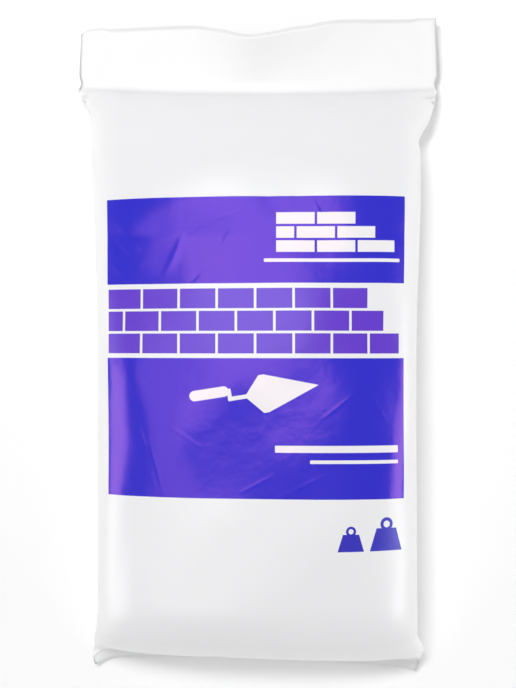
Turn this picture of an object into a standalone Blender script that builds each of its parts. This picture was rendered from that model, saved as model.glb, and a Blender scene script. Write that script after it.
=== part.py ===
"""A 5 kg pillow bag of cement, lying on its back: a tube of white film, welded at both ends, and its powder.

Metres, +Z up. The bag's head, with its flap, points to +Y, and its printed face looks up.
The film is lofted through rings of points. Each ring runs once round the tube, from the right edge
over the top to the left edge and back underneath, and every ring has the same number of points.
"""

import math

import bpy
import numpy as np

MM = 0.001

# The film, as it was before it was filled
TUBE_WIDTH = 240 * MM  # the tube laid flat
FILM = 0.15 * MM  # thickness of one layer
SEAL = 6 * MM  # length of the head weld, along the bag
FIN = 6 * MM  # film beyond the foot weld
POCKET_GAP = 0.3 * MM  # between the flap's two layers at the weld
MOUTH_GAP = 2.2 * MM  # between them at the open edge

# The filled bag, along Y
SHOULDER_Y = 70 * MM  # from here to the weld the thickness rolls off
SHOULDER_ROUND = 2.4  # how late it does so
SEAL_STEEP = 1.3  # how steeply the top meets the weld
SEAL_Y = 171 * MM  # lower edge of the head weld, at its corners
SEAL_DRAW = 4 * MM  # how far the fill draws the middle of the weld down
MOUTH_Y = 213 * MM  # the open edge, on average
NOSE_START_Y = -166 * MM  # where the foot begins to round over
NOSE_TIP_Y = -205.6 * MM  # furthest point of the rounded foot, left of the middle
FOOT_SEAL_Y = -204 * MM  # the foot weld, low under the nose
FOOT_CORNER_Y = -213 * MM  # the ends of the foot weld, which stand out past its middle
FOOT_SLANT = 0.041  # how much further the foot reaches for each metre to the right of SLANT_START_X
SLANT_START_X = -33 * MM
SLANT_FULL_AT = 0.7  # share of the nose's turn from which the slant is full
EAR_LEFT = 8 * MM  # how far the foot's corners stand out past the weld
EAR_RIGHT = 4.5 * MM
EAR_LEFT_POWER = 18  # a high power keeps the ear to the corner itself
EAR_RIGHT_POWER = 4.5
EAR_X = 110 * MM  # where an ear has its full length
EAR_GROWTH = 2.5  # power of the turn with which the ears come out
NOSE_SWEEP = 112  # degrees that the top film turns through round the nose

# Heights
SEAL_Z = 8 * MM  # the head weld, above the floor
SEAL_LIFT_FROM = 138 * MM  # y where the underside begins to rise to the weld
SEAL_BOW_FROM = 110 * MM  # y where the sections begin to bow like the weld
FLAP_LIFT = 5 * MM  # rise of the flap from the weld to its open edge
FLAP_LIFT_POWER = 1.3  # more than 1 bends the flap up towards its edge
MOUTH_POWER = 1.5  # and opens the mouth there
FLAP_WAVE = 1.8 * MM  # height of the ripple in the open edge
FLAP_WAVE_LENGTH = 190 * MM
FOOT_SEAL_Z = 2 * MM  # the foot weld
NOSE_Z = 21 * MM  # height of the foot's furthest point
NOSE_FALL = 3 * MM  # how far above the foot weld the nose's arc ends
WAIST_SHARE = 0.42  # height of the widest line, as a share of the bag's thickness
NOSE_WAIST_SHARE = 0.55  # the same round the nose

# Half widths seen from above, as (y, half width) in millimetres, from the foot to the mouth
LEFT_EDGE = [
    (-219, 110), (-211, 112), (-205, 111), (-192, 109), (-180, 106.5), (-168, 105.5), (-37, 105.5),
    (73, 107.5), (126, 111), (150, 112), (160, 116), (171, 120), (190, 120), (209, 118.5),
]
RIGHT_EDGE = [
    (-219, 105.5), (-212, 108.5), (-202, 110), (-194, 108.5), (-183, 104), (-158, 103.5), (-26, 103),
    (58, 105), (110, 106.5), (131, 106.5), (142, 109.5), (150, 113), (160, 115.5), (171, 119),
    (180, 120), (203, 119), (215, 118),
]
# The open edge, as (x, y) in millimetres
MOUTH_EDGE = [(-120, 205), (-110, 210), (-43, 213), (-7, 206), (40, 214.5), (57, 216.5), (120, 217.5)]

# The powder
SLACK_BELOW = 0.3 * MM  # clearance to the film under the powder
SLACK_ABOVE = 1.2 * MM  # and where the film spans it at the top and sides
SLACK_RISE = 0.25  # share of the height over which the one becomes the other
FILL_HEAD_Y = 158 * MM  # where the powder ends short of the weld
FIRST_FILL_RING = 3  # the powder's first ring at the foot, counted in the film's

# Shape of a ring
RING_POINTS = 48
ROUND_TOP = 2.5  # exponent of the rounding: 2 is an ellipse, more is boxier
ROUND_BELOW = 3.0
FLOOR_PRESS = 5 * MM  # how far the round underside would reach below the floor it lies flat on
FULL_PRESS_FROM = 4 * MM  # waist height from which it is pressed that much
HALVINGS = 40  # steps in the search for a thickness

# The gap in the middle of the head weld that lets the air out
VENT_WIDTH = 4 * MM
VENT_GAP = 0.3 * MM
VENT_PUCKER = 1.15  # how much higher than the gap the weld stands over it
VENT_FROM = 1 * MM  # its narrow part, measured from the weld's lower edge
VENT_UP_TO = 2.2 * MM
PINCH = 0.1 * MM  # what is left between the layers where a weld begins
PINCH_SET_BACK = 0.4 * MM  # how far inside the foot weld the two layers meet

# Where the rings stand
NOSE_TURNS = (0.9, 0.8, 0.68, 0.56, 0.44, 0.32, 0.2, 0.1)
BELLY_END_Y = 120 * MM
BELLY_RINGS = 11
SHOULDER_RINGS = 8
FLAP_SHARES = (0.15, 0.4, 0.7, 1)


def smooth_curve(points, at):
    """Heights at `at` of a smooth curve that never overshoots its points (a monotone cubic)."""
    x, y = np.array(points, float).T
    slope = np.diff(y) / np.diff(x)
    before, after = slope[:-1], slope[1:]
    turning = before * after > 0
    safe_sum = np.where(turning, before + after, 1)
    tangent = np.concatenate([slope[:1], np.where(turning, 2 * before * after / safe_sum, 0), slope[-1:]])
    i = np.clip(np.searchsorted(x, at) - 1, 0, len(x) - 2)
    step = x[i + 1] - x[i]
    t = np.clip((at - x[i]) / step, 0, 1)
    return (
        y[i] * (1 + 2 * t) * (1 - t) ** 2
        + y[i + 1] * t * t * (3 - 2 * t)
        + step * (tangent[i] * t * (1 - t) ** 2 - tangent[i + 1] * t * t * (1 - t))
    )


def smooth_step(start, end, value):
    """From 0 at start to 1 at end, level at both."""
    t = np.clip((value - start) / (end - start), 0, 1)
    return t * t * (3 - 2 * t)


def half_widths(y):
    """(left, right) of the bag at y, in metres."""
    return tuple(float(smooth_curve(edge, y / MM)) * MM for edge in (LEFT_EDGE, RIGHT_EDGE))


def ring_angles():
    return np.arange(RING_POINTS) * 2 * math.pi / RING_POINTS


def section(left, right, low, high, waist):
    """x and z round one section between two heights: widest at waist, and flat where the floor presses it."""
    angle = ring_angles()
    over = np.sin(angle) >= -1e-9
    power = np.where(over, ROUND_TOP, ROUND_BELOW)
    across = np.sign(np.cos(angle)) * np.abs(np.cos(angle)) ** (2 / power)
    rise = np.abs(np.sin(angle)) ** (2 / power)
    press = FLOOR_PRESS * min(1.0, (waist - low) / FULL_PRESS_FROM)
    above = waist + (high - waist) * rise
    below = np.maximum(waist - (waist - low + press) * rise, low)
    return across * np.where(across > 0, right, left), np.where(over, above, below)


def girth(left, right, thickness):
    x, z = section(left, right, 0, thickness, WAIST_SHARE * thickness)
    return float(np.hypot(np.roll(x, -1) - x, np.roll(z, -1) - z).sum())


def thickness_at(y):
    """The tube's girth never changes, so the belly is thick where it is narrow, and thin where it is wide."""
    left, right = half_widths(y)
    low, high = 0.0, left + right
    for _ in range(HALVINGS):
        middle = (low + high) / 2
        if girth(left, right, middle) < 2 * TUBE_WIDTH:
            low = middle
        else:
            high = middle
    return low


def seal_line(x):
    """y of the head weld's lower edge at x: its corners stay up, and its middle is drawn down."""
    return SEAL_Y - SEAL_DRAW * (1 - np.minimum(1, np.abs(x) / (TUBE_WIDTH / 2)) ** 2)


def body_ring(y):
    """A ring of the filled bag, upright at the foot and bowed like the weld towards the head."""
    lift = SEAL_Z * smooth_step(SEAL_LIFT_FROM, SEAL_Y, y)
    to_seal = max(0, (y - SHOULDER_Y) / (SEAL_Y - SHOULDER_Y))
    roll_off = (1 - to_seal**SHOULDER_ROUND) ** (1 / SEAL_STEEP)
    thick = max(thickness_at(min(y, SHOULDER_Y)) * roll_off, 2 * FILM)
    x, z = section(*half_widths(y), lift, lift + thick, lift + WAIST_SHARE * thick)
    bow = (seal_line(x) - SEAL_Y) * smooth_step(SEAL_BOW_FROM, SEAL_Y, y)
    return np.column_stack([x, y + bow, z])


def ears(x):
    """How far the foot's two corners stand out at x."""
    share = np.abs(x) / EAR_X
    return np.where(x < 0, EAR_LEFT * share**EAR_LEFT_POWER, EAR_RIGHT * share**EAR_RIGHT_POWER)


def foot_slant(x):
    return FOOT_SLANT * np.maximum(0, x - SLANT_START_X)


def nose_ring(turn):
    """A ring of the rounded foot. Its top runs round an arc from the crown, turn 0, to the weld, turn 1."""
    thick = thickness_at(NOSE_START_Y)
    angle = math.radians(90 - NOSE_SWEEP * turn)
    top_y = NOSE_START_Y - (NOSE_START_Y - NOSE_TIP_Y) * math.cos(angle)
    if angle > 0:
        top_z = NOSE_Z + (thick - NOSE_Z) * math.sin(angle)
    else:
        drop = (NOSE_Z - FOOT_SEAL_Z - NOSE_FALL) / math.sin(math.radians(NOSE_SWEEP - 90))
        top_z = NOSE_Z + drop * math.sin(angle)
    fallen = min(1.0, turn / NOSE_TURNS[0]) ** 2
    waist = FOOT_SEAL_Z + NOSE_WAIST_SHARE * (top_z - FOOT_SEAL_Z) * (1 - fallen)
    waist = min(WAIST_SHARE * thick, waist)
    x, z = section(*half_widths(NOSE_START_Y + (FOOT_CORNER_Y - NOSE_START_Y) * turn), 0, top_z, waist)
    below_y = NOSE_START_Y + (FOOT_SEAL_Y - NOSE_START_Y) * turn
    y = below_y + (top_y - below_y) * z / top_z
    y -= foot_slant(x) * smooth_step(0, SLANT_FULL_AT, turn) + ears(x) * turn**EAR_GROWTH
    return np.column_stack([x, y, z])


def flat_ring(x_left, x_right, y_of_x, z_of_x, gap_of_x):
    """A flat ring: its upper and lower points lie at the same x, a gap apart."""
    angle = ring_angles()
    across = np.sign(np.cos(angle)) * np.abs(np.cos(angle)) ** (2 / ROUND_TOP)
    x = across * np.where(across > 0, x_right, -x_left)
    half = gap_of_x(x) / 2 * np.sign(np.round(np.sin(angle), 6))
    return np.column_stack([x, y_of_x(x), z_of_x(x) + half])


def flap_ring(share, inset):
    """A ring of the flap, from the weld, share 0, to the open edge, share 1. inset makes its inner side."""
    gap = POCKET_GAP + (MOUTH_GAP - POCKET_GAP) * share**MOUTH_POWER
    left, right = half_widths(SEAL_Y + SEAL + (MOUTH_Y - SEAL_Y - SEAL) * share)

    def y_of(x):
        start = seal_line(x) + SEAL
        return start + (smooth_curve(MOUTH_EDGE, x / MM) * MM - start) * share

    def z_of(x):
        wave = FLAP_WAVE * np.sin(2 * math.pi * x / FLAP_WAVE_LENGTH)
        return SEAL_Z + FLAP_LIFT * share**FLAP_LIFT_POWER + wave * share

    def gap_of(x):
        return gap + 2 * FILM - 2 * inset + 0 * x

    return flat_ring(inset - left, right - inset, y_of, z_of, gap_of)


def weld_ring(offset, inset, gap_of):
    """A ring at the head weld, offset above its lower edge and inset from its two sides."""
    left, right = half_widths(SEAL_Y)

    def y_of(x):
        return seal_line(x) + offset

    return flat_ring(inset - left, right - inset, y_of, lambda x: SEAL_Z + 0 * x, gap_of)


def seal_ring(offset):
    """The outside of the welded band: two layers, and a pucker over the vent."""

    def gap_of(x):
        return 2 * FILM + VENT_GAP * VENT_PUCKER * np.exp(-((x / VENT_WIDTH) ** 4))

    return weld_ring(offset, 0, gap_of)


def pinch_ring(offset):
    """A ring of the inside where the two layers meet at the head weld."""
    return weld_ring(offset, FILM, lambda x: PINCH + 0 * x)


def vent_ring(offset):
    """The hole of the vent through the weld, a flat lens."""
    angle = ring_angles()
    x = VENT_WIDTH / 2 * np.cos(angle)
    z = SEAL_Z + VENT_GAP / 2 * np.sin(angle)
    return np.column_stack([x, seal_line(x) + offset, z])


def foot_ring(offset, inset, gap):
    """A flat ring at the foot weld, or offset from it towards the edge of the fin."""
    left, right = half_widths(FOOT_CORNER_Y - offset)

    def y_of(x):
        return FOOT_SEAL_Y - offset - foot_slant(x) - ears(x)

    return flat_ring(inset - left, right - inset, y_of, lambda x: FOOT_SEAL_Z + 0 * x, lambda x: gap + 0 * x)


def body_stations():
    """y of the body's rings: close together where the shoulders turn, wide apart along the belly."""
    belly = np.linspace(NOSE_START_Y, BELLY_END_Y, BELLY_RINGS)
    shoulders = np.linspace(BELLY_END_Y, SEAL_Y, SHOULDER_RINGS + 2)[1:-1]
    return np.concatenate([belly, shoulders])


def filled_rings():
    """The outside of the filled bag, as an array of rings from the foot weld to the head weld."""
    rings = [nose_ring(t) for t in NOSE_TURNS] + [body_ring(y) for y in body_stations()]
    return np.array([foot_ring(0, 0, 2 * FILM), *rings, seal_ring(0)])


def inward(rings, depth, floor):
    """The rings moved inwards by depth, which is one length or one for each point, and kept above floor."""
    round_ring = np.roll(rings, -1, axis=1) - np.roll(rings, 1, axis=1)
    along = np.gradient(rings, axis=0)
    normal = np.cross(along, round_ring)
    normal /= np.linalg.norm(normal, axis=2, keepdims=True)
    middle = rings.mean(axis=1, keepdims=True)
    outwards = np.sign(np.sum(normal * (rings - middle), axis=(1, 2)))[:, None, None]
    moved = rings - normal * outwards * depth
    moved[:, :, 2] = np.maximum(moved[:, :, 2], floor)
    return moved


def film_rings():
    """Round the outside from the foot to the mouth, then down the inside to the foot again."""
    filled = filled_rings()
    outside = [foot_ring(FIN, 0, 2 * FILM), *filled, seal_ring(SEAL)]
    outside += [flap_ring(share, 0) for share in FLAP_SHARES]
    inside = [flap_ring(share, FILM) for share in FLAP_SHARES[::-1]]
    inside += [pinch_ring(SEAL), vent_ring(VENT_UP_TO), vent_ring(VENT_FROM), pinch_ring(0)]
    inside += [*inward(filled, FILM, FILM)[-2:0:-1], foot_ring(-PINCH_SET_BACK, FILM, PINCH)]
    return outside, inside


def fill_rings():
    """The powder's rings, from the foot to where it ends in a thin wedge short of the weld."""
    filled = filled_rings()
    height = filled[:, :, 2:] / filled[:, :, 2:].max(axis=1, keepdims=True)
    slack = SLACK_BELOW + (SLACK_ABOVE - SLACK_BELOW) * np.clip(height / SLACK_RISE, 0, 1)
    powder = inward(filled, FILM + slack, FILM + SLACK_BELOW)
    return [ring for ring in powder[FIRST_FILL_RING:] if ring[:, 1].mean() < FILL_HEAD_Y], []


def loft(name, outside, inside, material):
    """One closed mesh through the outside rings and then the inside ones, or through the outside ones alone.

    Every four-sided cell is cut in two along the same diagonal on both sides of the film, and on its upper
    and lower layers, so the layers stay parallel. A strip from its upper to its lower points shuts each end.
    """
    rings = outside + inside
    points = np.concatenate(rings)
    count = RING_POINTS
    faces = []
    for r in range(len(rings) - 1):
        for k in range(count):
            near = r * count + k
            near_next = r * count + (k + 1) % count
            far, far_next = near + count, near_next + count
            if (k < count // 2) == (r < len(outside)):
                faces += [(near, far, far_next), (near, far_next, near_next)]
            else:
                faces += [(near, far, near_next), (near_next, far, far_next)]
    last = (len(rings) - 1) * count
    for k in range(count // 2):
        faces.append((k, k + 1, count - k - 1, (count - k) % count))
        faces.append((last + k, last + (count - k) % count, last + count - k - 1, last + k + 1))
    faces = [tuple(dict.fromkeys(face)) for face in faces]
    mesh = bpy.data.meshes.new(name)
    mesh.from_pydata(points.tolist(), [], faces)
    mesh.validate()
    mesh.shade_smooth()
    mesh.materials.append(material)
    obj = bpy.data.objects.new(name, mesh)
    bpy.context.scene.collection.objects.link(obj)
    return obj


def plain_material(name, colour, roughness):
    material = bpy.data.materials.new(name)
    material.use_nodes = True
    shader = material.node_tree.nodes["Principled BSDF"]
    shader.inputs["Base Color"].default_value = (*colour, 1)
    shader.inputs["Roughness"].default_value = roughness
    shader.inputs["Metallic"].default_value = 0
    return material


def centre_on_origin(objects):
    """Puts the middle of the bag's footprint at the origin, with the floor at z = 0."""
    corners = np.array([v.co for obj in objects for v in obj.data.vertices])
    low, high = corners.min(axis=0), corners.max(axis=0)
    for obj in objects:
        obj.location = (-(low[0] + high[0]) / 2, -(low[1] + high[1]) / 2, -low[2])


def main():
    for obj in list(bpy.data.objects):
        bpy.data.objects.remove(obj)
    film = plain_material("white_film", (0.86, 0.86, 0.87), 0.3)
    powder = plain_material("cement_powder", (0.42, 0.42, 0.4), 0.95)
    bag = loft("film_bag", *film_rings(), film)
    fill = loft("cement_fill", *fill_rings(), powder)
    centre_on_origin([bag, fill])


main()
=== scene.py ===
import bpy
import math
import numpy as np
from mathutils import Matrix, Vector
from numpy.lib.stride_tricks import sliding_window_view


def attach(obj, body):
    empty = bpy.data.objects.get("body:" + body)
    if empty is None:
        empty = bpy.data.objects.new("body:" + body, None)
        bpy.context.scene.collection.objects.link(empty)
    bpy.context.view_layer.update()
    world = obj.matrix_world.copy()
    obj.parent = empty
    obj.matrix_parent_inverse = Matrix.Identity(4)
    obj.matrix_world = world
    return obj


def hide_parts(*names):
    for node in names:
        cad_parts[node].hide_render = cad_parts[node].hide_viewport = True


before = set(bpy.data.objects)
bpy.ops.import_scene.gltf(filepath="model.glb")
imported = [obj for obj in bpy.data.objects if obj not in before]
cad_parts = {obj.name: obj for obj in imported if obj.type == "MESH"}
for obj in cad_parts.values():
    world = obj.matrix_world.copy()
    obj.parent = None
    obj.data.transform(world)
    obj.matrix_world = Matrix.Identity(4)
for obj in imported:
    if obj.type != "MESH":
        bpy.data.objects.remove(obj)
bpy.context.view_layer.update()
mm = 0.001


# Curves and grids that the film is made from

def curveThrough(points, at):
    # a smooth curve through (x, y) points that never overshoots them: monotone cubic pieces
    px, py = np.array(points, float).T
    slope = np.diff(py) / np.diff(px)
    before, after = slope[:-1], slope[1:]
    turning = before * after > 0
    safe = np.where(turning, before + after, 1)
    inner = np.where(turning, 2 * before * after / safe, 0)
    tangent = np.concatenate([slope[:1], inner, slope[-1:]])
    i = np.clip(np.searchsorted(px, at) - 1, 0, len(px) - 2)
    step = px[i + 1] - px[i]
    t = np.clip((at - px[i]) / step, 0, 1)
    return (
        py[i] * (1 + 2 * t) * (1 - t) ** 2
        + py[i + 1] * t * t * (3 - 2 * t)
        + step * (tangent[i] * t * (1 - t) ** 2 - tangent[i + 1] * t * t * (1 - t))
    )


def smoothStep(low, high, value):
    # from 0 at low to 1 at high, level at both ends; low may be the larger of the two
    t = np.clip((value - low) / (high - low), 0, 1)
    return t * t * (3 - 2 * t)


def bell(value, middle, width):
    # e^-((value - middle) / width)^2
    return np.exp(-(((value - middle) / width) ** 2))


def surfaceNormals(grid):
    # cross product of the two directions of a grid of points that closes on itself across its columns
    across = np.roll(grid, -1, axis=1) - np.roll(grid, 1, axis=1)
    along = np.gradient(grid, axis=0)
    normal = np.cross(along, across)
    return normal / np.linalg.norm(normal, axis=2, keepdims=True)


# The film bag. Lengths in mm: X to the right of the print, Y towards the head, Z up

filmBag = {
    "tubeWidth": 240,  # the tube laid flat
    "filmThickness": 0.12,
    "layerGap": 0.3,  # between the middles of the two layers where they are welded
    "shoulderY": 70,  # from here the bag's thickness rolls off to the weld
    "shoulderRound": 2.4,
    "weldSteep": 1.3,
    "bowStartY": 110,  # from here on the film is drawn down with the middle of the weld
    "liftStartY": 138,  # from here on the underside leaves the floor
    "headWeldY": 171,
    "headWeldLength": 6,
    "headWeldSag": 4,  # how far the middle of the weld is drawn down
    "headWeldZ": 8,
    "flapEndY": 213,  # before the flap's edge is fitted to the mouth's line
    "mouthOpens": (2.2, 1.5),  # at the flap's edge, and the power with which it grows from the weld
    "mouthLift": (5, 1.3),
    "lowerLayerLonger": 1.6,
    "noseStartY": -166,
    "noseTipY": -205.6,
    "noseZ": 21,
    "noseSweep": 112,  # degrees that the top film turns through round the foot
    "noseEndsAbove": 3,  # over the foot weld
    "noseWaist": 0.55,
    "undersideRises": 0.9,  # the share of the nose after which the underside rises to the foot weld
    "footEdgeY": -213,  # where the foot weld reads its half widths from the two edge tables
    "footWeldY": -204,
    "footWeldZ": 2,
    "finLength": 6,
    "footSlant": 0.041,
    "slantStartX": -33,
    "slantGrowsOver": 0.7,  # of the nose
    "earGrowth": 2.5,  # power with which the foot's two ears grow along the nose
    "earAt": 110,  # half width at which the ears have their full length
    "earLeft": (5.5, 18),  # length, and the power with which it grows outwards
    "earRight": (4.5, 4.5),
    "earLift": (5, 10),
    "earLiftStarts": 0.6,
    "waistShare": 0.42,
    "roundTop": 2.5,
    "roundBelow": 3.0,
    "floorPress": 5,  # how far under the floor the lower half would reach
    "pressWholeAt": 4,  # height of the waist from which on it would reach that far
    "columnsOverPrint": 84,
    "columnsAtFold": 9,
    "columnsBelow": 76,
    "rowStep": 2.4,
    "stations": {"fin": 5, "nose": 80, "belly": 220, "weld": 6, "flap": 30},
    "sectionPoints": 1440,
}
# half widths from foot to head, as (y, half width), with the small notches at the weld and shoulder
leftEdge = [
    (-219, 110), (-215, 111.5), (-211, 112), (-205, 111), (-192, 109), (-180, 106.5), (-168, 105.5),
    (-37, 105.4), (21, 106.1), (73, 107.7), (100, 109.1), (126, 110.8), (148, 112), (154, 112.6),
    (160, 116.5), (166, 119.7), (171, 121), (174.5, 119.2), (179, 120.2), (190, 119.8), (209, 118.5),
]
rightEdge = [
    (-219, 105.5), (-212, 108.3), (-205, 109.8), (-199.5, 110.2), (-194, 108.6), (-189, 106), (-183, 103.9),
    (-158, 103.4), (-26, 102.8), (21, 103.4), (58, 104.9), (110, 106.6), (124, 106.8), (130.5, 106.3),
    (133, 105.4), (138, 107.2), (142, 109.6), (148, 113.1), (154, 115.1), (160, 117), (166, 118.4),
    (171, 119.7), (174, 118.3), (177, 119.2), (180, 120.1), (203, 118.8), (215, 118),
]
mouthEdge = [
    (-120, 205.2), (-111, 209.8), (-99, 210.6), (-43, 212.8), (-31, 211), (-23, 209.7), (-15, 207.4),
    (-7, 206.1), (9, 208.2), (25, 211.6), (33, 212.4), (41, 214.5), (57, 216.4), (93, 217), (120, 217.4),
]


def girthOf(left, right, thick):
    # length round one section of the filled bag, for whole arrays of sections
    points = filmBag["sectionPoints"] // 2
    x, z, _ = sectionOf(left, right, 0 * thick, thick, filmBag["waistShare"] * thick, points)
    return np.hypot(np.roll(x, -1, 1) - x, np.roll(z, -1, 1) - z).sum(axis=1)


def sectionOf(left, right, low, high, waist, count):
    # a rounded section: |x / half|^p + |z / height|^p = 1, rounder above the waist than below it, where
    # it would reach a little under the floor and is pressed flat. It starts at the middle of the top
    angle = np.pi / 2 + np.arange(count) * 2 * np.pi / count
    up = np.sin(angle) >= -1e-9
    power = np.where(up, filmBag["roundTop"], filmBag["roundBelow"])
    across = np.sign(np.round(np.cos(angle), 9)) * np.abs(np.cos(angle)) ** (2 / power)
    rise = np.abs(np.sin(angle)) ** (2 / power)
    left, right, low, high, waist = (v[:, None] for v in (left, right, low, high, waist))
    x = across * np.where(across > 0, right, left)
    press = filmBag["floorPress"] * np.minimum(1, (waist - low) / filmBag["pressWholeAt"])
    above = waist + (high - waist) * rise
    below = np.maximum(waist - (waist - low + press) * rise, low)
    z = np.where(up, above, below)
    share = np.clip((z - low) / (high - low), 0, 1)
    return x, z, share


def thicknessFor(left, right):
    # the tube's girth stays the same, so its thickness follows from its width: found by halving
    low = 0 * left
    high = 0.6 * (left + right)  # thicker than any filled bag
    halvings = 30
    for _ in range(halvings):
        middle = (low + high) / 2
        small = girthOf(left, right, middle) < 2 * filmBag["tubeWidth"]
        low = np.where(small, middle, low)
        high = np.where(small, high, middle)
    return low


def filmStations():
    # the sections that the film is lofted through, from the foot's edge to the mouth, as one table
    b = filmBag
    count = b["stations"]
    gap = b["layerGap"] / 2
    columns = ("topY", "topZ", "lowY", "lowZ", "waist", "slant", "ear", "bow", "left", "right")
    parts = []

    def add(*values):
        # values in the order of the columns; the last one is where the edge tables are read
        rows = [row.astype(float) for row in np.broadcast_arrays(*values)]
        edgeY = rows.pop()
        parts.append(np.column_stack(rows + [curveThrough(edge, edgeY) for edge in (leftEdge, rightEdge)]))

    # the fin at the foot
    out = np.linspace(1, 0, count["fin"])
    finY = b["footWeldY"] - b["finLength"] * out
    fz = b["footWeldZ"]
    add(finY, fz + gap, finY, fz - gap, fz, 1.0, 1.0, 0.0, b["footEdgeY"] - b["finLength"] * out)

    # the rounded foot: its top runs round an arc, its underside lies on the floor
    turn = np.linspace(1, 0, count["nose"])[1:]
    angle = np.radians(90 - b["noseSweep"] * turn)
    crown = thicknessFor(*(curveThrough(e, np.array([b["noseStartY"]])) for e in (leftEdge, rightEdge)))[0]
    arcY = b["noseStartY"] - (b["noseStartY"] - b["noseTipY"]) * np.cos(angle)
    drop = (b["noseZ"] - fz - b["noseEndsAbove"]) / math.sin(math.radians(b["noseSweep"] - 90))
    arcZ = b["noseZ"] + np.sin(angle) * np.where(angle > 0, crown - b["noseZ"], drop)
    lowY = b["noseStartY"] + (b["footWeldY"] - b["noseStartY"]) * turn
    fallen = np.minimum(1, turn / b["undersideRises"]) ** 2
    waist = np.minimum(b["waistShare"] * crown, fz + b["noseWaist"] * (arcZ - fz) * (1 - fallen))
    lowZ = (fz - gap) * smoothStep(b["undersideRises"], 1, turn)
    waist = np.maximum(waist, lowZ + gap)
    slant = smoothStep(0, b["slantGrowsOver"], turn)
    edgeY = b["noseStartY"] + (b["footEdgeY"] - b["noseStartY"]) * turn
    add(arcY, arcZ, lowY, lowZ, waist, slant, turn ** b["earGrowth"], 0.0, edgeY)

    # the filled length
    y = np.linspace(b["noseStartY"], b["headWeldY"], count["belly"])[1:-1]
    left, right = (curveThrough(e, y) for e in (leftEdge, rightEdge))
    belly = thicknessFor(*(curveThrough(e, np.minimum(y, b["shoulderY"])) for e in (leftEdge, rightEdge)))
    toWeld = np.clip((y - b["shoulderY"]) / (b["headWeldY"] - b["shoulderY"]), 0, 1)
    thick = np.maximum(belly * (1 - toWeld ** b["shoulderRound"]) ** (1 / b["weldSteep"]), 2 * gap)
    lift = b["headWeldZ"] * smoothStep(b["liftStartY"], b["headWeldY"], y)
    lowZ = np.minimum(lift, b["headWeldZ"] - gap)
    topZ = np.maximum(lift + thick, lowZ + 2 * gap)
    bow = smoothStep(b["bowStartY"], b["headWeldY"], y)
    add(y, topZ, y, lowZ, lowZ + b["waistShare"] * (topZ - lowZ), 0.0, 0.0, bow, y)

    # the head weld and the flap beyond it, whose far end is fitted to the mouth's line afterwards
    wz = b["headWeldZ"]
    weld = b["headWeldY"] + np.linspace(0, b["headWeldLength"], count["weld"])
    add(weld, wz + gap, weld, wz - gap, wz, 0.0, 0.0, 1.0, weld)
    share = np.linspace(0, 1, count["flap"])[1:]
    flapY = weld[-1] + (b["flapEndY"] - weld[-1]) * share
    opens, lift = (height * share**power for height, power in (b["mouthOpens"], b["mouthLift"]))
    half = gap + opens / 2
    rise = wz + lift
    add(flapY, rise + half, flapY, rise - half, rise, 0.0, 0.0, 1.0, flapY)
    return dict(zip(columns, np.concatenate(parts).T))


# the printed panel in the film's own flat lengths: across from the middle of the front, and along from
# the bag's middle
panel = {
    "left": -99.3,
    "right": 94.8,
    "top": 94.2,
    "bandTop": 38.5,
    "bandFoot": -8.9,
    "foot": -97.5,
    "spread": 0.000127,  # how much the film is stretched along its length for each mm to the right
    "spreadAlong": (150, 100),  # where that stretch starts and is whole
    "spreadAcross": (118, 98),
}


def evenly(edges, counts):
    # grid lines that hit every edge, with the given number of cells between each pair of edges
    pieces = [np.linspace(a, b, n + 1)[:-1] for a, b, n in zip(edges[:-1], edges[1:], counts)]
    return np.concatenate(pieces + [edges[-1:]])


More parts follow.
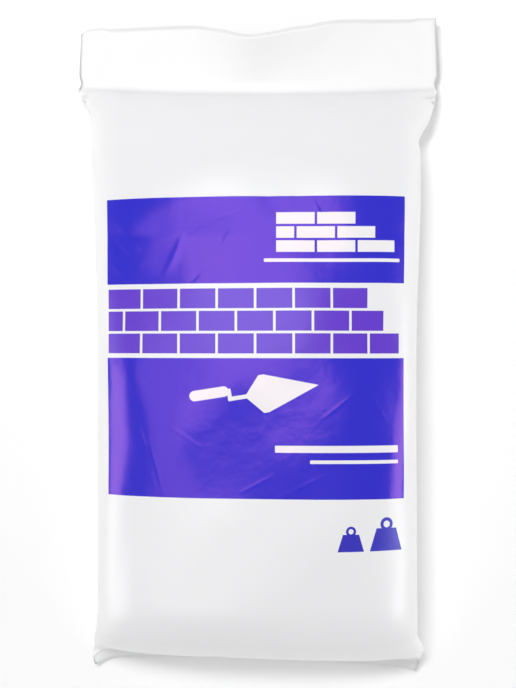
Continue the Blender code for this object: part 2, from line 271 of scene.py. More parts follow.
def filmGrid():
    # the film as rows along the bag and columns round it, evenly spaced in the film's own flat lengths
    b = filmBag
    table = filmStations()
    steps = np.hypot(np.diff(table["topY"]), np.diff(table["topZ"]))
    run = np.concatenate([[0], np.cumsum(steps)])
    foot = np.argmin(table["topY"])  # Y grows all the way from here to the mouth
    run -= np.interp(0, table["topY"][foot:], run[foot:])
    b["weldAlong"] = float(np.interp(b["headWeldY"], table["topY"][foot:], run[foot:]))
    p = panel
    marks = np.array([run[0], p["foot"], p["bandFoot"], p["bandTop"], p["top"], run[-1]])
    counts = np.maximum(1, np.round(np.diff(marks) / b["rowStep"])).astype(int)
    along = evenly(marks, counts)
    rows = {k: np.interp(along, run, v) for k, v in table.items()}

    # columns: the print's two side edges and the flap's two folds are grid lines, and the seam of the
    # grid is under the bag
    w = b["tubeWidth"]
    counts = [b["columnsBelow"] // 2, b["columnsAtFold"], b["columnsOverPrint"]]
    across = evenly(np.array([-w, -w / 2, p["left"], p["right"], w / 2, w]), counts + counts[1::-1])[:-1]

    points = b["sectionPoints"]
    x, z, share = sectionOf(rows["left"], rows["right"], rows["lowZ"], rows["topZ"], rows["waist"], points)
    # arc length from the middle of the top, to the left as the section is drawn; each column's place is
    # found among every fourth point first
    dx = np.diff(np.concatenate([x, x[:, :1]], 1), axis=1)
    dz = np.diff(np.concatenate([z, z[:, :1]], 1), axis=1)
    arc = np.concatenate([np.zeros((len(x), 1)), np.cumsum(np.hypot(dx, dz), 1)], 1)
    wanted = (-across[None, :] / (2 * w)) % 1 * arc[:, -1:]
    coarse = 4
    cell = (arc[:, None, ::coarse] <= wanted[:, :, None]).sum(-1) - 1
    cell = np.clip(cell, 0, points // coarse - 1) * coarse
    for _ in range(coarse - 1):
        isPast = np.take_along_axis(arc, np.minimum(cell + 1, points), 1) <= wanted
        cell = np.where(isPast, cell + 1, cell)
    cell = np.minimum(cell, points - 1)
    start = np.take_along_axis(arc, cell, 1)
    end = np.take_along_axis(arc, cell + 1, 1)
    t = (wanted - start) / np.maximum(end - start, 1e-9)

    def at(values):
        closed = np.concatenate([values, values[:, :1]], 1)
        a = np.take_along_axis(closed, cell, 1)
        return a + t * (np.take_along_axis(closed, cell + 1, 1) - a)

    x, z, share = at(x), at(z), at(share)
    y = rows["lowY"][:, None] + (rows["topY"] - rows["lowY"])[:, None] * share
    y -= b["footSlant"] * np.maximum(0, x - b["slantStartX"]) * rows["slant"][:, None]
    outward = np.abs(x / b["earAt"])
    ears = (b["earLeft"], b["earRight"], b["earLift"])
    left, right, lift = (length * outward**power for length, power in ears)
    y -= np.where(x < 0, left, right) * rows["ear"][:, None]
    z = z + lift * smoothStep(b["earLiftStarts"], 1, rows["ear"])[:, None]
    spreadAlong = smoothStep(*p["spreadAlong"], np.abs(along))[:, None]
    spread = spreadAlong * smoothStep(*p["spreadAcross"], np.abs(across))[None, :]
    y += p["spread"] * across[None, :] * along[:, None] * spread
    sag = b["headWeldSag"] * (1 - np.minimum(1, np.abs(x) / (w / 2)) ** 2)
    y -= sag * rows["bow"][:, None]
    grid = np.stack([x, y, z], axis=2)
    return grid, across, along


flapRipple = {
    "wave": 1.6,
    "waveLength": 26,  # mm across for one radian
    "waveStart": 0.8,
    "bells": [(1.2, -8, 16), (-1.2, -95, 20)],  # height, middle and width
    "growth": 1.2,  # power with which the ripple grows from the weld to the mouth
}


def shapeFlap(grid, along):
    # stretches the flap so that its edge follows the mouth's wavy line, and lets it ripple: a sine wave
    # across the flap with two bells, growing from the weld to the mouth
    b = filmBag
    middleY = grid[:, grid.shape[1] // 2, 1]
    weldEnd = np.argmin(np.abs(middleY - (b["headWeldY"] + b["headWeldLength"] - b["headWeldSag"])))
    y0 = grid[weldEnd, :, 1]
    x = grid[weldEnd:, :, 0]
    share = (along[weldEnd:] - along[weldEnd]) / (along[-1] - along[weldEnd])
    mouth = curveThrough(mouthEdge, grid[-1, :, 0])
    isUpper = grid[-1, :, 2] >= np.median(grid[-1, :, 2])
    mouth -= np.where(isUpper, b["lowerLayerLonger"], 0)
    grid[weldEnd:, :, 1] = y0 + (mouth - y0) * share[:, None]
    r = flapRipple
    ripple = r["wave"] * np.sin(x / r["waveLength"] + r["waveStart"])
    ripple = ripple + sum(height * bell(x, middle, width) for height, middle, width in r["bells"])
    grid[weldEnd:, :, 2] += ripple * share[:, None] ** r["growth"]


swells = {
    "mean": 0.5,
    # each wave: height in mm, lengths across and along in mm for one radian, and where it starts
    "waves": [(0.45, 17, 41, 0.4), (0.40, 29, -23, 1.9), (0.30, 11, 19, 4.1), (0.25, -14, 12, 2.7)],
    "height": (3, 14),  # above the floor, where the swells start and are whole
    "foot": (-205, -180),
    "head": (140, 165),
    "sides": (80, 112),
}


def restlessSurface(grid, across, along):
    # slow swells of the powder under the film: a few crossing sine waves that fade at the welds and sides
    s = swells
    u, v = np.meshgrid(across, along)
    waves = sum(h * np.sin(u / wide + v / long + start) for h, wide, long, start in s["waves"])
    onTop = smoothStep(*s["height"], grid[:, :, 2]) * smoothStep(*s["foot"], grid[:, :, 1])
    onTop = onTop * (1 - smoothStep(*s["head"], grid[:, :, 1])) * (1 - smoothStep(*s["sides"], np.abs(u)))
    return (s["mean"] + waves) * onTop


cloth = {
    "every": 2,  # the cloth is the film's grid, thinned to every second row and column
    "frames": 20,
    "pressure": 1.2,
    "growth": 0.006,  # the film is cut this much larger than the bag is drawn
    "stiffness": 40,
    "shear": 12,
    "bending": 4,
    "quality": 6,
    "vertexMass": 0.08,
    "airDamping": 2,
    "heldBelow": 1,  # height under which the film lies on the floor
    "heldFin": 5,
    "smoothOver": 44,  # mm: the movement that is slower than this is left out
    "highest": 1.2,
    "deepest": 0.9,
    "clearOfFloor": (0.5, 6),  # height above its row's lowest point, where the folds start and are whole
    "sides": (117, 104),
}


def movingAverage(values, reachRows, reachColumns):
    # the mean of each point's neighbours, taken twice: rows stop at the ends, and columns close up
    for _ in range(2):
        values = np.pad(values, ((reachRows, reachRows), (0, 0)), mode="edge")
        values = sliding_window_view(values, 2 * reachRows + 1, axis=0).mean(axis=-1)
        values = np.pad(values, ((0, 0), (reachColumns, reachColumns)), mode="wrap")
        values = sliding_window_view(values, 2 * reachColumns + 1, axis=1).mean(axis=-1)
    return values


def enlarged(values, rows, columns, step):
    # straight lines between the points of a thinned grid whose columns close up
    row = np.minimum(np.arange(rows) / step, len(values) - 1)
    lower = row.astype(int)
    upper = np.minimum(lower + 1, len(values) - 1)
    values = values[lower] + (values[upper] - values[lower]) * (row - lower)[:, None]
    column = np.arange(columns) / step
    left = column.astype(int)
    right = (left + 1) % values.shape[1]
    return values[:, left] + (values[:, right] - values[:, left]) * (column - left)[None, :]


def tubeFaces(rows, columns):
    # the four corners of each cell of a grid whose columns close up
    r, c = np.meshgrid(np.arange(rows - 1), np.arange(columns), indexing="ij")
    n = (c + 1) % columns
    quads = [r * columns + c, r * columns + n, (r + 1) * columns + n, (r + 1) * columns + c]
    return np.stack(quads, -1).reshape(-1, 4), r, c


def foldsFromCloth(grid, normals, along):
    # the film swells as cloth under air pressure while its welds, its flap and its underside are held;
    # what is kept of its movement is what differs from its own moving average: the fine folds
    step = cloth["every"]
    part = grid[::step, ::step]
    rows, columns = part.shape[:2]
    mesh = bpy.data.meshes.new("clothTrial")
    mesh.from_pydata((part.reshape(-1, 3) * mm).tolist(), [], tubeFaces(rows, columns)[0].tolist())
    trial = bpy.data.objects.new("clothTrial", mesh)
    bpy.context.scene.collection.objects.link(trial)
    atEnds = (along < along[0] + cloth["heldFin"]) | (along > filmBag["weldAlong"] - 1)
    isHeld = atEnds[::step, None] | (part[:, :, 2] < cloth["heldBelow"])
    held = trial.vertex_groups.new(name="held")
    held.add(np.flatnonzero(isHeld).tolist(), 1, "REPLACE")
    modifier = trial.modifiers.new("cloth", "CLOTH")
    settings = modifier.settings
    settings.vertex_group_mass = "held"
    settings.quality = cloth["quality"]
    settings.mass = cloth["vertexMass"]
    settings.tension_stiffness = cloth["stiffness"]
    settings.compression_stiffness = cloth["stiffness"]
    settings.shear_stiffness = cloth["shear"]
    settings.bending_stiffness = cloth["bending"]
    settings.air_damping = cloth["airDamping"]
    settings.use_pressure = True
    settings.uniform_pressure_force = cloth["pressure"]
    settings.shrink_min = -cloth["growth"]
    settings.effector_weights.gravity = 0
    modifier.point_cache.frame_end = cloth["frames"]
    for number in range(1, cloth["frames"] + 1):
        bpy.context.scene.frame_set(number)
    swollen = trial.evaluated_get(bpy.context.evaluated_depsgraph_get()).to_mesh()
    points = np.empty(rows * columns * 3)
    swollen.vertices.foreach_get("co", points)
    bpy.context.scene.frame_set(1)
    bpy.data.objects.remove(trial)
    bpy.data.meshes.remove(mesh)
    moved = ((points.reshape(part.shape) / mm - part) * normals[::step, ::step]).sum(axis=2)
    reachRows = round(cloth["smoothOver"] / 4 / (step * filmBag["rowStep"]))
    reachColumns = round(cloth["smoothOver"] / 4 * columns / (2 * filmBag["tubeWidth"]))
    folds = moved - movingAverage(moved, reachRows, reachColumns)
    folds = np.clip(folds, -cloth["deepest"], cloth["highest"])
    return movingAverage(enlarged(folds, *grid.shape[:2], step), 1, 1)


def buildFilm():
    b = filmBag
    grid, across, along = filmGrid()
    normals = surfaceNormals(grid)
    outward = grid - grid.mean(axis=1, keepdims=True)
    if (normals * outward).sum() < 0:
        normals = -normals
    u, v = np.meshgrid(across, along)
    grid = grid + normals * restlessSurface(grid, across, along)[:, :, None]
    folds = foldsFromCloth(grid, normals, along)
    height = grid[:, :, 2] - grid[:, :, 2].min(axis=1, keepdims=True)
    folds = folds * smoothStep(*cloth["clearOfFloor"], height)
    folds = folds * smoothStep(*cloth["sides"], np.abs(u)) * (v < b["weldAlong"])
    grid = grid + normals * folds[:, :, None]
    print("cloth folds:", round(float(folds.min()), 2), "to", round(float(folds.max()), 2), "mm")
    shapeFlap(grid, along)
    grid[:, :, 2] -= grid[:, :, 2].min()  # down onto the floor
    points = grid.reshape(-1, 3) * mm
    rows, columns = grid.shape[:2]
    quads, r, c = tubeFaces(rows, columns)

    mesh = bpy.data.meshes.new("filmBag")
    mesh.from_pydata(points.tolist(), [], quads.tolist())
    # flat film lengths in metres, so the print keeps its true size wherever the film bends
    uvLayer = mesh.uv_layers.new(name="flatFilm")
    w = b["tubeWidth"]
    wide = np.concatenate([across, [w]])
    flatU = np.stack([wide[c], wide[c + 1], wide[c + 1], wide[c]], -1)
    flatV = np.stack([along[r], along[r], along[r + 1], along[r + 1]], -1)
    uv = np.stack([flatU, flatV], -1).reshape(-1) * mm
    uvLayer.data.foreach_set("uv", uv)

    # the printed panel's faces take the ink
    p = panel
    middleU = flatU.mean(axis=-1)
    middleV = flatV.mean(axis=-1)
    inked = (middleU > p["left"]) & (middleU < p["right"]) & (middleV < p["top"]) & (middleV > p["foot"])
    inked &= ~((middleV > p["bandFoot"]) & (middleV < p["bandTop"]))
    mesh.polygons.foreach_set("material_index", inked.reshape(-1).astype(np.int32))
    mesh.validate()
    mesh.shade_smooth()
    film = bpy.data.objects.new("filmBag", mesh)
    bpy.context.scene.collection.objects.link(film)
    group = film.vertex_groups.new(name="nearPowder")
    group.add(np.flatnonzero(liesOnPowder(grid, u, v)).tolist(), 1, "REPLACE")
    return film


powderSide = {
    "gap": 0.42,  # the least that the film stays off the powder
    "footAlong": -190,
    "weldMargin": 4,
    "cornerMargin": 12,  # beside the weld, more than cornerAcross from the middle
    "cornerAcross": 100,
    "topAbove": 2,
    "noseBelow": 3,
    "noseY": (-198, -170),
    "noseHalfWidth": 106,
}


def liesOnPowder(grid, u, v):
    # the film over the powder, and the underside of the rounded foot; the welds, the flap and the ears
    # stay out, because they have no powder in them
    s = powderSide
    x, y, z = np.moveaxis(grid, 2, 0)
    margin = np.where(np.abs(u) < s["cornerAcross"], s["weldMargin"], s["cornerMargin"])
    above = (v > s["footAlong"]) & (v < filmBag["weldAlong"] - margin) & (z > s["topAbove"])
    below = (z < s["noseBelow"]) & (y > s["noseY"][0]) & (y < s["noseY"][1])
    return above | below & (np.abs(x) < s["noseHalfWidth"])


def keepClear(film, powder):
    # moves the film out wherever a fold would lie in the powder, and writes that into its mesh
    guard = film.modifiers.new("keepClear", "SHRINKWRAP")
    guard.target = powder
    guard.vertex_group = "nearPowder"
    guard.wrap_method = "NEAREST_SURFACEPOINT"
    guard.wrap_mode = "OUTSIDE"
    guard.offset = powderSide["gap"] * mm
    shaped = film.evaluated_get(bpy.context.evaluated_depsgraph_get())
    film.data = bpy.data.meshes.new_from_object(shaped)
    film.modifiers.clear()


def giveThickness(film):
    skin = film.modifiers.new("filmThickness", "SOLIDIFY")
    skin.thickness = filmBag["filmThickness"] * mm
    skin.offset = -1


# Node helpers

def calculator(tree):
    # returns a function that adds one Math node and gives its result: calc("ADD", a, b)
    def calc(operation, *values, clamp=False):
        node = tree.nodes.new("ShaderNodeMath")
        node.operation = operation
        node.use_clamp = clamp
        for socket, value in zip(node.inputs, values):
            if isinstance(value, (int, float)):
                socket.default_value = value
            else:
                tree.links.new(value, socket)
        return node.outputs[0]

    return calc


def newGroup(name, inputs, outputs):
    # an empty node group with named number inputs, given with their defaults, and number outputs
    group = bpy.data.node_groups.new(name, "ShaderNodeTree")
    for label, value in inputs.items():
        socket = group.interface.new_socket(name=label, in_out="INPUT", socket_type="NodeSocketFloat")
        socket.default_value = value
    for label in outputs:
        group.interface.new_socket(name=label, in_out="OUTPUT", socket_type="NodeSocketFloat")
    given = group.nodes.new("NodeGroupInput").outputs
    result = group.nodes.new("NodeGroupOutput").inputs
    return group, given, result, calculator(group)


def useGroup(tree, group, values):
    # places a group in a tree; each value is a number or a socket to link
    node = tree.nodes.new("ShaderNodeGroup")
    node.node_tree = group
    for label, value in values.items():
        if isinstance(value, (int, float)):
            node.inputs[label].default_value = value
        else:
            tree.links.new(value, node.inputs[label])
    return node.outputs


def insideOf(calc, distance, blur=0.14):
    # 1 inside a shape and 0 outside it, from the distance to its edge in mm, which is negative inside
    return calc("ADD", calc("MULTIPLY", distance, -1 / (2 * blur)), 0.5, clamp=True)


def flatCoordinates(tree):
    # across and along the flat film, in mm
    calc = calculator(tree)
    flat = tree.nodes.new("ShaderNodeUVMap")
    flat.uv_map = "flatFilm"
    parts = tree.nodes.new("ShaderNodeSeparateXYZ")
    tree.links.new(flat.outputs[0], parts.inputs[0])
    return calc("MULTIPLY", parts.outputs[0], 1000), calc("MULTIPLY", parts.outputs[1], 1000)


# The print's shapes. Each group takes a place on the film in mm and gives 1 inside its shape

def barGroup():
    # a bar with round corners: d = |max(|p - middle| - half + r, 0)| - r
    inputs = {"Across": 0, "Along": 0, "Middle Across": 0, "Middle Along": 0}
    inputs |= {"Half Length": 10, "Half Height": 2, "Corner": 0.6}
    group, given, result, calc = newGroup("roundedBar", inputs, ["Mask"])
    offsets = []
    for axis, half in (("Across", "Half Length"), ("Along", "Half Height")):
        away = calc("ABSOLUTE", calc("SUBTRACT", given[axis], given["Middle " + axis]))
        offsets.append(calc("ADD", calc("SUBTRACT", away, given[half]), given["Corner"]))
    outX, outY = (calc("MAXIMUM", o, 0) for o in offsets)
    reach = calc("SQRT", calc("ADD", calc("MULTIPLY", outX, outX), calc("MULTIPLY", outY, outY)))
    within = calc("MINIMUM", calc("MAXIMUM", offsets[0], offsets[1]), 0)
    distance = calc("SUBTRACT", calc("ADD", reach, within), given["Corner"])
    group.links.new(insideOf(calc, distance), result["Mask"])
    return group


def brickGroup():
    # courses of bricks in running bond: each course is shifted by half a brick, joints are left open,
    # and the right end steps back by one half brick for each course upwards
    inputs = {"Across": 0, "Along": 0, "Foot": 0, "Start": 0, "End": 100, "Step": 11}
    inputs |= {"Brick Length": 22, "Course Height": 12, "Joint": 1.6, "Courses": 3}
    group, given, result, calc = newGroup("brickCourses", inputs, ["Mask"])
    height = calc("DIVIDE", calc("SUBTRACT", given["Along"], given["Foot"]), given["Course Height"])
    course = calc("FLOOR", height)
    upInCourse = calc("MULTIPLY", calc("FRACT", height), given["Course Height"])
    shift = calc("MULTIPLY", calc("FLOORED_MODULO", course, 2), 0.5)
    run = calc("DIVIDE", calc("SUBTRACT", given["Across"], given["Start"]), given["Brick Length"])
    alongBrick = calc("MULTIPLY", calc("FRACT", calc("ADD", run, shift)), given["Brick Length"])
    joint = calc("MULTIPLY", given["Joint"], 0.5)

    def edges(position, length):
        toEdge = calc("MINIMUM", position, calc("SUBTRACT", length, position))
        return calc("SUBTRACT", joint, toEdge)

    end = calc("SUBTRACT", given["End"], calc("MULTIPLY", course, given["Step"]))
    top = calc("ADD", given["Foot"], calc("MULTIPLY", given["Courses"], given["Course Height"]))
    distance = edges(upInCourse, given["Course Height"])
    for beyond in (
        edges(alongBrick, given["Brick Length"]),
        calc("SUBTRACT", given["Across"], calc("SUBTRACT", end, joint)),
        calc("ADD", calc("SUBTRACT", given["Start"], given["Across"]), joint),
        calc("SUBTRACT", given["Foot"], given["Along"]),
        calc("SUBTRACT", given["Along"], top),
    ):
        distance = calc("MAXIMUM", distance, beyond)
    group.links.new(insideOf(calc, distance), result["Mask"])
    return group


def trowelGroup(bar):
    # a bricklayer's trowel, drawn pointing right and then turned: a kite-shaped blade, a bent tang and a
    # round-ended handle. The blade is |y| < (tip - x) * a where it narrows to the tip and
    # |y| < (x - heel) * b where it widens from the heel
    inputs = {"Across": 0, "Along": 0, "Middle Across": 0, "Middle Along": 0, "Turn": 0, "Size": 1}
    group, given, result, calc = newGroup("trowel", inputs, ["Mask"])
    x0 = calc("SUBTRACT", given["Across"], given["Middle Across"])
    y0 = calc("SUBTRACT", given["Along"], given["Middle Along"])
    cosine, sine = calc("COSINE", given["Turn"]), calc("SINE", given["Turn"])
    x = calc("ADD", calc("MULTIPLY", x0, cosine), calc("MULTIPLY", y0, sine))
    y = calc("SUBTRACT", calc("MULTIPLY", y0, cosine), calc("MULTIPLY", x0, sine))
    x, y = calc("DIVIDE", x, given["Size"]), calc("DIVIDE", y, given["Size"])
    side = calc("ABSOLUTE", y)
    toTip = calc("SUBTRACT", side, calc("MULTIPLY", calc("SUBTRACT", 40, x), 0.36))
    toHeel = calc("SUBTRACT", side, calc("MULTIPLY", calc("SUBTRACT", x, -7), 1.15))
    blade = insideOf(calc, calc("MAXIMUM", calc("MAXIMUM", toTip, toHeel), calc("SUBTRACT", side, 12)))
    # tang, its bend and the handle: middle, half length and height, corner radius
    bars = [(-11, 0, 6, 1.3, 0.6), (-16.4, 2.6, 1.3, 3.9, 0.6), (-29, 5.2, 12.5, 3.3, 3.2)]
    mask = blade
    for middleX, middleY, halfLength, halfHeight, corner in bars:
        shape = {"Across": x, "Along": y, "Middle Across": middleX, "Middle Along": middleY}
        shape |= {"Half Length": halfLength, "Half Height": halfHeight, "Corner": corner}
        mask = calc("MAXIMUM", mask, useGroup(group, bar, shape)["Mask"])
    group.links.new(mask, result["Mask"])
    return group


def scaleWeightGroup():
    # an iron scale weight: a body that widens to its foot, |x| < top + slope * depth, and a ring on it
    inputs = {"Across": 0, "Along": 0, "Middle Across": 0, "Foot": 0, "Size": 1}
    group, given, result, calc = newGroup("scaleWeight", inputs, ["Mask"])
    x = calc("DIVIDE", calc("SUBTRACT", given["Across"], given["Middle Across"]), given["Size"])
    x = calc("ABSOLUTE", x)
    y = calc("DIVIDE", calc("SUBTRACT", given["Along"], given["Foot"]), given["Size"])
    slope = calc("SUBTRACT", x, calc("SUBTRACT", 11.5, calc("MULTIPLY", y, 0.3)))
    level = calc("MAXIMUM", calc("SUBTRACT", y, 15), calc("SUBTRACT", 0, y))
    body = insideOf(calc, calc("MAXIMUM", slope, level))
    up = calc("SUBTRACT", y, 17.6)
    radius = calc("SQRT", calc("ADD", calc("MULTIPLY", x, x), calc("MULTIPLY", up, up)))
    ring = insideOf(calc, calc("SUBTRACT", calc("ABSOLUTE", calc("SUBTRACT", radius, 3.3)), 1.1))
    group.links.new(calc("MAXIMUM", body, ring), result["Mask"])
    return group


# Creases in the film, as (across, along) of both ends, width and height in mm; a dent is negative

creaseLines = [
    (-50, 74, -4, 87, 1.5, 0.2),
    (-46, 69, -21, 82, 1.3, 0.16),
    (-52, 78, -30, 86, 1.2, 0.12),
    (-60, 43, -47, 72, 2.4, 0.28),
    (-24, 62, -17, 75, 1.0, 0.1),
    (33, 94, 41, 78, 1.3, 0.12),
    (-97, 70, -78, 47, 2.6, -0.3),
    (-98, 55, -80, 36, 2.2, 0.22),
    (-95, 84, -76, 60, 3.0, 0.2),
    (-29, 37, 2, 41, 1.8, 0.12),
    (-44, 38, -37, 46, 1.3, -0.12),
    (36, -50, 68, -25, 1.2, 0.12),
    (-73, -18, -60, -32, 1.1, 0.08),
    (-60, -50, -34, -67, 1.2, 0.08),
    (-77, -50, -71, -68, 1.1, 0.08),
    (-69, -62, -60, -98, 1.2, 0.08),
    (8, -99, 42, -82, 1.2, 0.07),
    (-14, -95, 10, -82, 1.2, 0.07),
    (70, -30, 84, -52, 1.6, 0.10),
]
unevenFilm = {"scale": 0.06, "detail": 3, "height": 0.35}


def creaseGroup():
    # one crease: height * e^-(distance / width)^2, fading out towards both ends of its line
    names = ["Across", "Along", "From Across", "From Along", "To Across", "To Along", "Width", "Height"]
    group, given, result, calc = newGroup("crease", dict.fromkeys(names, 0), ["Rise"])
    px = calc("SUBTRACT", given["Across"], given["From Across"])
    py = calc("SUBTRACT", given["Along"], given["From Along"])
    lx = calc("SUBTRACT", given["To Across"], given["From Across"])
    ly = calc("SUBTRACT", given["To Along"], given["From Along"])
    dot = calc("ADD", calc("MULTIPLY", px, lx), calc("MULTIPLY", py, ly))
    square = calc("ADD", calc("MULTIPLY", lx, lx), calc("MULTIPLY", ly, ly))
    share = calc("DIVIDE", dot, square, clamp=True)
    dx = calc("SUBTRACT", px, calc("MULTIPLY", share, lx))
    dy = calc("SUBTRACT", py, calc("MULTIPLY", share, ly))
    away = calc("SQRT", calc("ADD", calc("MULTIPLY", dx, dx), calc("MULTIPLY", dy, dy)))
    ratio = calc("DIVIDE", away, given["Width"])
    ridge = calc("EXPONENT", calc("MULTIPLY", calc("MULTIPLY", ratio, ratio), -1))
    fade = calc("MULTIPLY", calc("MULTIPLY", share, calc("SUBTRACT", 1, share)), 4)
    group.links.new(calc("MULTIPLY", calc("MULTIPLY", ridge, fade), given["Height"]), result["Rise"])
    return group


def filmReliefGroup():
    # all the creases together, and a fine unevenness of the film, as a height in mm
    crease = creaseGroup()
    group, given, result, calc = newGroup("filmRelief", {"Across": 0, "Along": 0}, ["Height"])
    total = 0.0
    for x1, y1, x2, y2, width, height in creaseLines:
        line = {"Across": given["Across"], "Along": given["Along"], "From Across": x1, "From Along": y1}
        line |= {"To Across": x2, "To Along": y2, "Width": width, "Height": height}
        total = calc("ADD", useGroup(group, crease, line)["Rise"], total)
    place = group.nodes.new("ShaderNodeCombineXYZ")
    group.links.new(given["Across"], place.inputs[0])
    group.links.new(given["Along"], place.inputs[1])
    noise = group.nodes.new("ShaderNodeTexNoise")
    noise.inputs["Scale"].default_value = unevenFilm["scale"]
    noise.inputs["Detail"].default_value = unevenFilm["detail"]
    group.links.new(place.outputs[0], noise.inputs["Vector"])
    total = calc("ADD", total, calc("MULTIPLY", noise.outputs[0], unevenFilm["height"]))
    group.links.new(total, result["Height"])
    return group


# Materials

# the second colour is the lighter film: on the empty flap it is the film's own colour, at the sides and
# over the foot it is painted light
filmLook = {
    "onPowder": (0.8, 0.8, 0.812),
    "flapAndPaintedLight": (0.86, 0.86, 0.865),
    "flapShare": 0.5,  # how far the flap is from the first colour to the second
    "sidesFrom": 92,
    "footFrom": -195,
    "fadeOver": 30,
    "roughness": 0.34,
    "ior": 1.5,
}
inkLook = {
    "panel": (0.016, 0.026, 0.57),
    # the bricks' ink is lighter and redder than the panel's: the ink's violet with a painted violet sheen
    # mixed into its colour, as the white film shines without the ink's tint
    "bricks": (0.11, 0.028, 0.55),
    "weights": (0.026, 0.02, 0.45),
    "leftWhite": (0.84, 0.84, 0.85),
    "roughness": 0.2,
    "ior": 1.6,
    "sheen": (1.0, 0.35, 0.65),
}

# the places and sizes of the printed shapes, in mm on the flat film
brickSizes = {"Brick Length": 24.2, "Course Height": 14.3}
wallSizes = {"Brick Length": 26, "Course Height": 9}
printDesign = {
    "bricks": {"Foot": -6.8, "Start": -99.3, "End": 92, "Step": 11, **brickSizes},
    "wall": {"Foot": 57.5, "Start": 10, "End": 88, "Step": 13, **wallSizes},
    "groundLine": {"Middle Across": 47, "Middle Along": 53, "Half Length": 44, "Half Height": 1.1},
    "trowel": {"Middle Across": -2, "Middle Along": -32, "Turn": 0.16, "Size": 1.0},
    "upperRule": {"Middle Across": 50, "Middle Along": -66, "Half Length": 40, "Half Height": 2.2},
    "lowerRule": {"Middle Across": 61, "Middle Along": -74, "Half Length": 29, "Half Height": 1.1},
    "bigWeight": {"Middle Across": 82, "Foot": -131, "Size": 1.0},
    "smallWeight": {"Middle Across": 58, "Foot": -131, "Size": 0.75},
}


def newMaterial(name):
    material = bpy.data.materials.new(name)
    material.use_nodes = True
    tree = material.node_tree
    return material, tree, tree.nodes["Principled BSDF"]


def mixColours(tree, mask, first, second):
    # first where the mask is 0 and second where it is 1; a colour is a tuple or a socket
    node = tree.nodes.new("ShaderNodeMix")
    node.data_type = "RGBA"
    tree.links.new(mask, node.inputs["Factor"])
    for socket, colour in zip((node.inputs[6], node.inputs[7]), (first, second)):
        if isinstance(colour, tuple):
            socket.default_value = (*colour, 1)
        else:
            tree.links.new(colour, socket)
    return node.outputs[2]


def addRelief(tree, shader, relief, across, along):
    bump = tree.nodes.new("ShaderNodeBump")
    bump.inputs["Distance"].default_value = mm
    bump.inputs["Strength"].default_value = 1
    height = useGroup(tree, relief, {"Across": across, "Along": along})["Height"]
    tree.links.new(height, bump.inputs["Height"])
    tree.links.new(bump.outputs[0], shader.inputs["Normal"])


def whiteFilm(shapes, relief):
    # white film: a little darker where the grey powder lies behind it; lighter on its flap, which has no
    # powder behind it, and lighter at its sides and its foot as painted light against their shade; with the
    # printed bricks and weights
    material, tree, shader = newMaterial("whiteFilm")
    calc = calculator(tree)
    across, along = flatCoordinates(tree)
    look = filmLook
    flap = calc("DIVIDE", calc("SUBTRACT", along, filmBag["weldAlong"] + 2), 2, clamp=True)
    flap = calc("MULTIPLY", flap, look["flapShare"])
    pastSide = calc("SUBTRACT", calc("ABSOLUTE", across), look["sidesFrom"])
    pastFoot = calc("SUBTRACT", look["footFrom"], along)
    toSide, toFoot = (calc("DIVIDE", past, look["fadeOver"], clamp=True) for past in (pastSide, pastFoot))
    # painted light: the sides and the foot fade to the lighter colour as well as the flap; the foot's fin
    # also has no powder behind it
    flapAndPaintedLight = calc("MAXIMUM", flap, calc("MAXIMUM", toSide, toFoot))
    colour = mixColours(tree, flapAndPaintedLight, look["onPowder"], look["flapAndPaintedLight"])
    here = {"Across": across, "Along": along}
    masks = [useGroup(tree, shapes["bricks"], {**here, **printDesign["bricks"]})["Mask"]]
    for name in ("bigWeight", "smallWeight"):
        masks.append(useGroup(tree, shapes["weight"], {**here, **printDesign[name]})["Mask"])
    # the bricks: their ink with a painted violet sheen in its colour
    colour = mixColours(tree, masks[0], colour, inkLook["bricks"])
    colour = mixColours(tree, calc("MAXIMUM", masks[1], masks[2]), colour, inkLook["weights"])
    tree.links.new(colour, shader.inputs["Base Color"])
    shader.inputs["Roughness"].default_value = look["roughness"]
    shader.inputs["IOR"].default_value = look["ior"]
    addRelief(tree, shader, relief, across, along)
    return material


def inkedFilm(shapes, relief):
    # ink on the film, with the violet sheen of the print, and the shapes that are left white in it
    material, tree, shader = newMaterial("inkedFilm")
    calc = calculator(tree)
    across, along = flatCoordinates(tree)
    here = {"Across": across, "Along": along}
    masks = [useGroup(tree, shapes["trowel"], {**here, **printDesign["trowel"]})["Mask"]]
    masks.append(useGroup(tree, shapes["bricks"], {**here, **printDesign["wall"]})["Mask"])
    for name in ("groundLine", "upperRule", "lowerRule"):
        masks.append(useGroup(tree, shapes["bar"], {**here, **printDesign[name]})["Mask"])
    white = masks[0]
    for mask in masks[1:]:
        white = calc("MAXIMUM", white, mask)
    look = inkLook
    colour = mixColours(tree, white, look["panel"], look["leftWhite"])
    tree.links.new(colour, shader.inputs["Base Color"])
    shader.inputs["Roughness"].default_value = look["roughness"]
    shader.inputs["IOR"].default_value = look["ior"]
    shader.inputs["Specular Tint"].default_value = (*look["sheen"], 1)
    addRelief(tree, shader, relief, across, along)
    return material


powderLook = {
    "dark": (0.22, 0.22, 0.21),
    "pale": (0.34, 0.34, 0.32),
    "grainScale": 900,
    "grainDetail": 4,
    "grainHeight": 0.4,
    "roughness": 0.95,
}


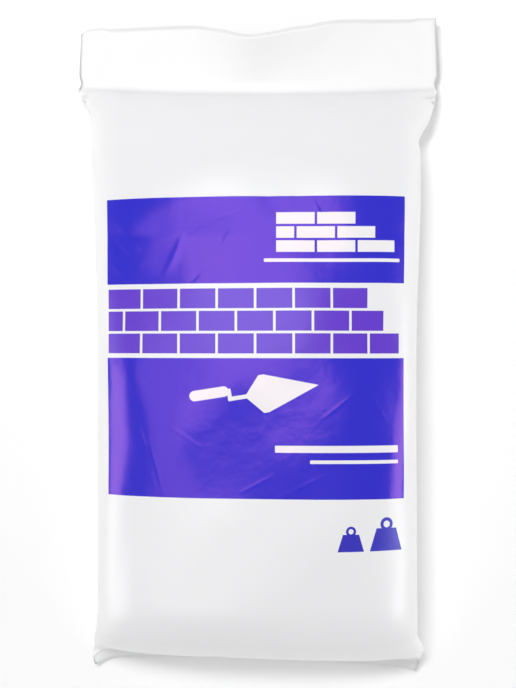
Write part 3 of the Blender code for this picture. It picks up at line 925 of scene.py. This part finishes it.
def cementPowder():
    # matt grey powder: a fine noise mixes its two greys and roughens it
    look = powderLook
    material, tree, shader = newMaterial("cementPowder")
    place = tree.nodes.new("ShaderNodeTexCoord")
    noise = tree.nodes.new("ShaderNodeTexNoise")
    noise.inputs["Scale"].default_value = look["grainScale"]
    noise.inputs["Detail"].default_value = look["grainDetail"]
    tree.links.new(place.outputs["Object"], noise.inputs["Vector"])
    colour = mixColours(tree, noise.outputs[0], look["dark"], look["pale"])
    tree.links.new(colour, shader.inputs["Base Color"])
    shader.inputs["Roughness"].default_value = look["roughness"]
    bump = tree.nodes.new("ShaderNodeBump")
    bump.inputs["Distance"].default_value = look["grainHeight"] * mm
    tree.links.new(noise.outputs[0], bump.inputs["Height"])
    tree.links.new(bump.outputs[0], shader.inputs["Normal"])
    return material


# Floor, light and camera

stage = {
    "cameraHeight": 0.9043,
    "lens": 70,
    "viewMiddleX": -0.00066,
    "floorSize": 8.0,
    "floorColour": (0.985, 0.985, 0.985),
    "floorRoughness": 0.9,
    "floorShine": 0.1,
    "skyGlow": 0.42,
}
# what a softbox has unless it says otherwise: it aims at the bag's middle, and its light falls on things
# without being seen in their shine
plainBox = {"aim": (0, 0, 0.03), "turn": 0, "size": (1.4, 0.4), "onlyInShine": False}
softboxes = {
    "overheadBox": {
        "place": (-0.02, 0.41, 1.5),
        "aim": (-0.02, 0.35, 0),
        "turn": 8,
        "size": (0.84, 1.08),
        "radiance": 3.2,
        "onlyInShine": True,
    },
    "dimBox": {
        "place": (-0.68, -0.22, 1.5),
        "aim": (-0.64, -0.2, 0),
        "size": (1.15, 0.7),
        "radiance": 1.8,
        "onlyInShine": True,
    },
    "leftBox": {
        "place": (-1.25, -0.33, 0.55),
        "aim": (0, -0.1, 0.03),
        "size": (0.8, 0.55),
        "radiance": 4.2,
        "onlyInShine": True,
    },
    "rightBox": {
        "place": (1.25, -0.3, 0.5),
        "aim": (0, -0.1, 0.03),
        "size": (0.8, 0.5),
        "radiance": 4.2,
        "onlyInShine": True,
    },
    "keyBox": {"place": (-0.3, 0.45, 1.2), "size": (0.55, 0.2), "radiance": 24.0},
    "leftFill": {"place": (-1.25, 0, 0.35), "radiance": 1.8},
    "rightFill": {"place": (1.25, 0, 0.35), "radiance": 3.7},
    "headFill": {"place": (0, 1.3, 0.4), "radiance": 0.9},
    "footFill": {"place": (0, -1.3, 0.4), "radiance": 2.1},
}


def buildSoftbox(name):
    box = {**plainBox, **softboxes[name]}
    width, height = box["size"]
    light = bpy.data.lights.new(name, "AREA")
    light.shape = "RECTANGLE"
    light.size, light.size_y = width, height
    # a flat light of radiance L gives pi * L watts for each square metre
    light.energy = box["radiance"] * math.pi * width * height
    lamp = bpy.data.objects.new(name, light)
    lamp.location = box["place"]
    lamp.visible_glossy = box["onlyInShine"]
    lamp.visible_diffuse = not box["onlyInShine"]
    toAim = Vector(box["aim"]) - lamp.location
    lamp.rotation_euler = toAim.to_track_quat("-Z", "Y").to_euler()
    lamp.rotation_euler.rotate_axis("Z", math.radians(box["turn"]))
    bpy.context.scene.collection.objects.link(lamp)


def buildStage():
    size = stage["floorSize"]
    mesh = bpy.data.meshes.new("floor")
    corners = [(-size, -size, 0), (size, -size, 0), (size, size, 0), (-size, size, 0)]
    mesh.from_pydata(corners, [], [(0, 1, 2, 3)])
    floor = bpy.data.objects.new("floor", mesh)
    bpy.context.scene.collection.objects.link(floor)
    material, tree, shader = newMaterial("paleFloor")
    shader.inputs["Base Color"].default_value = (*stage["floorColour"], 1)
    shader.inputs["Roughness"].default_value = stage["floorRoughness"]
    shader.inputs["Specular IOR Level"].default_value = stage["floorShine"]
    mesh.materials.append(material)

    world = bpy.data.worlds.new("studio")
    world.use_nodes = True
    sky = world.node_tree.nodes["Background"].inputs
    sky["Color"].default_value = (1, 1, 1, 1)
    sky["Strength"].default_value = stage["skyGlow"]
    bpy.context.scene.world = world
    for name in softboxes:
        buildSoftbox(name)


def buildCamera():
    camera = bpy.data.cameras.new("camera")
    camera.sensor_width = 36
    camera.lens = stage["lens"]
    eye = bpy.data.objects.new("camera", camera)
    eye.location = (stage["viewMiddleX"], 0, stage["cameraHeight"])
    bpy.context.scene.collection.objects.link(eye)
    bpy.context.scene.camera = eye


buildCamera()
buildStage()
print("stage ready")

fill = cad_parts["cement_fill"]
film = buildFilm()
keepClear(film, fill)
giveThickness(film)
bar = barGroup()
shapes = {"bar": bar, "bricks": brickGroup(), "trowel": trowelGroup(bar), "weight": scaleWeightGroup()}
relief = filmReliefGroup()
film.data.materials.append(whiteFilm(shapes, relief))
film.data.materials.append(inkedFilm(shapes, relief))
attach(film, "root")
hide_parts("film_bag")
print("film bag ready:", len(film.data.polygons), "faces")

fill.material_slots[0].material = cementPowder()
print("cement ready")

bpy.context.scene.view_settings.view_transform = "Standard"
